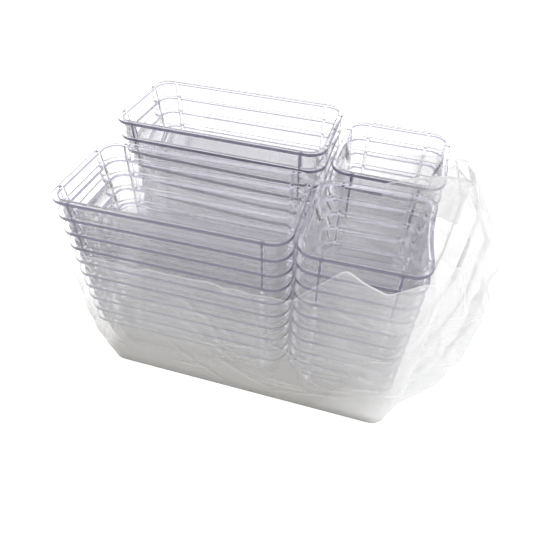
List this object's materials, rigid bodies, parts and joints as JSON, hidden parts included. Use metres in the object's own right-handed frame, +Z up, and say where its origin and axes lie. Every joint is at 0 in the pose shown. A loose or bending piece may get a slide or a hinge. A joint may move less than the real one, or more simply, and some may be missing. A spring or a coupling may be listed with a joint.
{
  "type": "drawer organizer tray set",
  "caption": "Clear nesting drawer organiser trays in two rectangular sizes, with rims and stacking lugs, stacked in an open film bag.",
  "frame": {"origin": "on the surface that the set stands on, under the middle of the whole set's box", "axes": "+X along the long trays towards the small ones, +Y from the front stacks to the rear ones, +Z up"},
  "size_m": [0.2724, 0.1608, 0.176],
  "materials": {
    "clear_plastic": "clear moulded polystyrene, polished, faintly lavender",
    "film": "thin clear polyethylene film, wrinkled"
  },
  "bodies": {
    "film_bag": {"film_bag": "film"},
    "front_long_tray_01": {"front_long_tray_01": "clear_plastic"},
    "front_long_tray_02": {"front_long_tray_02": "clear_plastic"},
    "front_long_tray_03": {"front_long_tray_03": "clear_plastic"},
    "front_long_tray_04": {"front_long_tray_04": "clear_plastic"},
    "front_long_tray_05": {"front_long_tray_05": "clear_plastic"},
    "front_long_tray_06": {"front_long_tray_06": "clear_plastic"},
    "front_long_tray_07": {"front_long_tray_07": "clear_plastic"},
    "front_long_tray_08": {"front_long_tray_08": "clear_plastic"},
    "front_long_tray_09": {"front_long_tray_09": "clear_plastic"},
    "front_long_tray_10": {"front_long_tray_10": "clear_plastic"},
    "front_small_tray_01": {"front_small_tray_01": "clear_plastic"},
    "front_small_tray_02": {"front_small_tray_02": "clear_plastic"},
    "front_small_tray_03": {"front_small_tray_03": "clear_plastic"},
    "front_small_tray_04": {"front_small_tray_04": "clear_plastic"},
    "front_small_tray_05": {"front_small_tray_05": "clear_plastic"},
    "front_small_tray_06": {"front_small_tray_06": "clear_plastic"},
    "front_small_tray_07": {"front_small_tray_07": "clear_plastic"},
    "front_small_tray_08": {"front_small_tray_08": "clear_plastic"},
    "front_small_tray_09": {"front_small_tray_09": "clear_plastic"},
    "front_small_tray_10": {"front_small_tray_10": "clear_plastic"},
    "rear_long_tray_01": {"rear_long_tray_01": "clear_plastic"},
    "rear_long_tray_02": {"rear_long_tray_02": "clear_plastic"},
    "rear_long_tray_03": {"rear_long_tray_03": "clear_plastic"},
    "rear_long_tray_04": {"rear_long_tray_04": "clear_plastic"},
    "rear_long_tray_05": {"rear_long_tray_05": "clear_plastic"},
    "rear_long_tray_06": {"rear_long_tray_06": "clear_plastic"},
    "rear_long_tray_07": {"rear_long_tray_07": "clear_plastic"},
    "rear_long_tray_08": {"rear_long_tray_08": "clear_plastic"},
    "rear_long_tray_09": {"rear_long_tray_09": "clear_plastic"},
    "rear_long_tray_10": {"rear_long_tray_10": "clear_plastic"},
    "rear_long_tray_11": {"rear_long_tray_11": "clear_plastic"},
    "rear_small_tray_01": {"rear_small_tray_01": "clear_plastic"},
    "rear_small_tray_02": {"rear_small_tray_02": "clear_plastic"},
    "rear_small_tray_03": {"rear_small_tray_03": "clear_plastic"},
    "rear_small_tray_04": {"rear_small_tray_04": "clear_plastic"},
    "rear_small_tray_05": {"rear_small_tray_05": "clear_plastic"},
    "rear_small_tray_06": {"rear_small_tray_06": "clear_plastic"},
    "rear_small_tray_07": {"rear_small_tray_07": "clear_plastic"},
    "rear_small_tray_08": {"rear_small_tray_08": "clear_plastic"},
    "rear_small_tray_09": {"rear_small_tray_09": "clear_plastic"},
    "rear_small_tray_10": {"rear_small_tray_10": "clear_plastic"}
  },
  "joints": [
    {"name": "front_long_tray_01_lift", "type": "slide", "parent": "film_bag", "child": "front_long_tray_01", "axis": [0, 0, 1], "range_m": [0, 0.18]},
    {"name": "front_long_tray_02_lift", "type": "slide", "parent": "front_long_tray_01", "child": "front_long_tray_02", "axis": [0, 0, 1], "range_m": [0, 0.045]},
    {"name": "front_long_tray_03_lift", "type": "slide", "parent": "front_long_tray_02", "child": "front_long_tray_03", "axis": [0, 0, 1], "range_m": [0, 0.045]},
    {"name": "front_long_tray_04_lift", "type": "slide", "parent": "front_long_tray_03", "child": "front_long_tray_04", "axis": [0, 0, 1], "range_m": [0, 0.045]},
    {"name": "front_long_tray_05_lift", "type": "slide", "parent": "front_long_tray_04", "child": "front_long_tray_05", "axis": [0, 0, 1], "range_m": [0, 0.045]},
    {"name": "front_long_tray_06_lift", "type": "slide", "parent": "front_long_tray_05", "child": "front_long_tray_06", "axis": [0, 0, 1], "range_m": [0, 0.045]},
    {"name": "front_long_tray_07_lift", "type": "slide", "parent": "front_long_tray_06", "child": "front_long_tray_07", "axis": [0, 0, 1], "range_m": [0, 0.045]},
    {"name": "front_long_tray_08_lift", "type": "slide", "parent": "front_long_tray_07", "child": "front_long_tray_08", "axis": [0, 0, 1], "range_m": [0, 0.045]},
    {"name": "front_long_tray_09_lift", "type": "slide", "parent": "front_long_tray_08", "child": "front_long_tray_09", "axis": [0, 0, 1], "range_m": [0, 0.045]},
    {"name": "front_long_tray_10_lift", "type": "slide", "parent": "front_long_tray_09", "child": "front_long_tray_10", "axis": [0, 0, 1], "range_m": [0, 0.045]},
    {"name": "front_small_tray_01_lift", "type": "slide", "parent": "film_bag", "child": "front_small_tray_01", "axis": [0, 0, 1], "range_m": [0, 0.18]},
    {"name": "front_small_tray_02_lift", "type": "slide", "parent": "front_small_tray_01", "child": "front_small_tray_02", "axis": [0, 0, 1], "range_m": [0, 0.045]},
    {"name": "front_small_tray_03_lift", "type": "slide", "parent": "front_small_tray_02", "child": "front_small_tray_03", "axis": [0, 0, 1], "range_m": [0, 0.045]},
    {"name": "front_small_tray_04_lift", "type": "slide", "parent": "front_small_tray_03", "child": "front_small_tray_04", "axis": [0, 0, 1], "range_m": [0, 0.045]},
    {"name": "front_small_tray_05_lift", "type": "slide", "parent": "front_small_tray_04", "child": "front_small_tray_05", "axis": [0, 0, 1], "range_m": [0, 0.045]},
    {"name": "front_small_tray_06_lift", "type": "slide", "parent": "front_small_tray_05", "child": "front_small_tray_06", "axis": [0, 0, 1], "range_m": [0, 0.045]},
    {"name": "front_small_tray_07_lift", "type": "slide", "parent": "front_small_tray_06", "child": "front_small_tray_07", "axis": [0, 0, 1], "range_m": [0, 0.045]},
    {"name": "front_small_tray_08_lift", "type": "slide", "parent": "front_small_tray_07", "child": "front_small_tray_08", "axis": [0, 0, 1], "range_m": [0, 0.045]},
    {"name": "front_small_tray_09_lift", "type": "slide", "parent": "front_small_tray_08", "child": "front_small_tray_09", "axis": [0, 0, 1], "range_m": [0, 0.045]},
    {"name": "front_small_tray_10_lift", "type": "slide", "parent": "front_small_tray_09", "child": "front_small_tray_10", "axis": [0, 0, 1], "range_m": [0, 0.045]},
    {"name": "rear_long_tray_01_lift", "type": "slide", "parent": "film_bag", "child": "rear_long_tray_01", "axis": [0, 0, 1], "range_m": [0, 0.18]},
    {"name": "rear_long_tray_02_lift", "type": "slide", "parent": "rear_long_tray_01", "child": "rear_long_tray_02", "axis": [0, 0, 1], "range_m": [0, 0.045]},
    {"name": "rear_long_tray_03_lift", "type": "slide", "parent": "rear_long_tray_02", "child": "rear_long_tray_03", "axis": [0, 0, 1], "range_m": [0, 0.045]},
    {"name": "rear_long_tray_04_lift", "type": "slide", "parent": "rear_long_tray_03", "child": "rear_long_tray_04", "axis": [0, 0, 1], "range_m": [0, 0.045]},
    {"name": "rear_long_tray_05_lift", "type": "slide", "parent": "rear_long_tray_04", "child": "rear_long_tray_05", "axis": [0, 0, 1], "range_m": [0, 0.045]},
    {"name": "rear_long_tray_06_lift", "type": "slide", "parent": "rear_long_tray_05", "child": "rear_long_tray_06", "axis": [0, 0, 1], "range_m": [0, 0.045]},
    {"name": "rear_long_tray_07_lift", "type": "slide", "parent": "rear_long_tray_06", "child": "rear_long_tray_07", "axis": [0, 0, 1], "range_m": [0, 0.045]},
    {"name": "rear_long_tray_08_lift", "type": "slide", "parent": "rear_long_tray_07", "child": "rear_long_tray_08", "axis": [0, 0, 1], "range_m": [0, 0.045]},
    {"name": "rear_long_tray_09_lift", "type": "slide", "parent": "rear_long_tray_08", "child": "rear_long_tray_09", "axis": [0, 0, 1], "range_m": [0, 0.045]},
    {"name": "rear_long_tray_10_lift", "type": "slide", "parent": "rear_long_tray_09", "child": "rear_long_tray_10", "axis": [0, 0, 1], "range_m": [0, 0.045]},
    {"name": "rear_long_tray_11_lift", "type": "slide", "parent": "rear_long_tray_10", "child": "rear_long_tray_11", "axis": [0, 0, 1], "range_m": [0, 0.045]},
    {"name": "rear_small_tray_01_lift", "type": "slide", "parent": "film_bag", "child": "rear_small_tray_01", "axis": [0, 0, 1], "range_m": [0, 0.18]},
    {"name": "rear_small_tray_02_lift", "type": "slide", "parent": "rear_small_tray_01", "child": "rear_small_tray_02", "axis": [0, 0, 1], "range_m": [0, 0.045]},
    {"name": "rear_small_tray_03_lift", "type": "slide", "parent": "rear_small_tray_02", "child": "rear_small_tray_03", "axis": [0, 0, 1], "range_m": [0, 0.045]},
    {"name": "rear_small_tray_04_lift", "type": "slide", "parent": "rear_small_tray_03", "child": "rear_small_tray_04", "axis": [0, 0, 1], "range_m": [0, 0.045]},
    {"name": "rear_small_tray_05_lift", "type": "slide", "parent": "rear_small_tray_04", "child": "rear_small_tray_05", "axis": [0, 0, 1], "range_m": [0, 0.045]},
    {"name": "rear_small_tray_06_lift", "type": "slide", "parent": "rear_small_tray_05", "child": "rear_small_tray_06", "axis": [0, 0, 1], "range_m": [0, 0.045]},
    {"name": "rear_small_tray_07_lift", "type": "slide", "parent": "rear_small_tray_06", "child": "rear_small_tray_07", "axis": [0, 0, 1], "range_m": [0, 0.045]},
    {"name": "rear_small_tray_08_lift", "type": "slide", "parent": "rear_small_tray_07", "child": "rear_small_tray_08", "axis": [0, 0, 1], "range_m": [0, 0.045]},
    {"name": "rear_small_tray_09_lift", "type": "slide", "parent": "rear_small_tray_08", "child": "rear_small_tray_09", "axis": [0, 0, 1], "range_m": [0, 0.045]},
    {"name": "rear_small_tray_10_lift", "type": "slide", "parent": "rear_small_tray_09", "child": "rear_small_tray_10", "axis": [0, 0, 1], "range_m": [0, 0.045]}
  ]
}
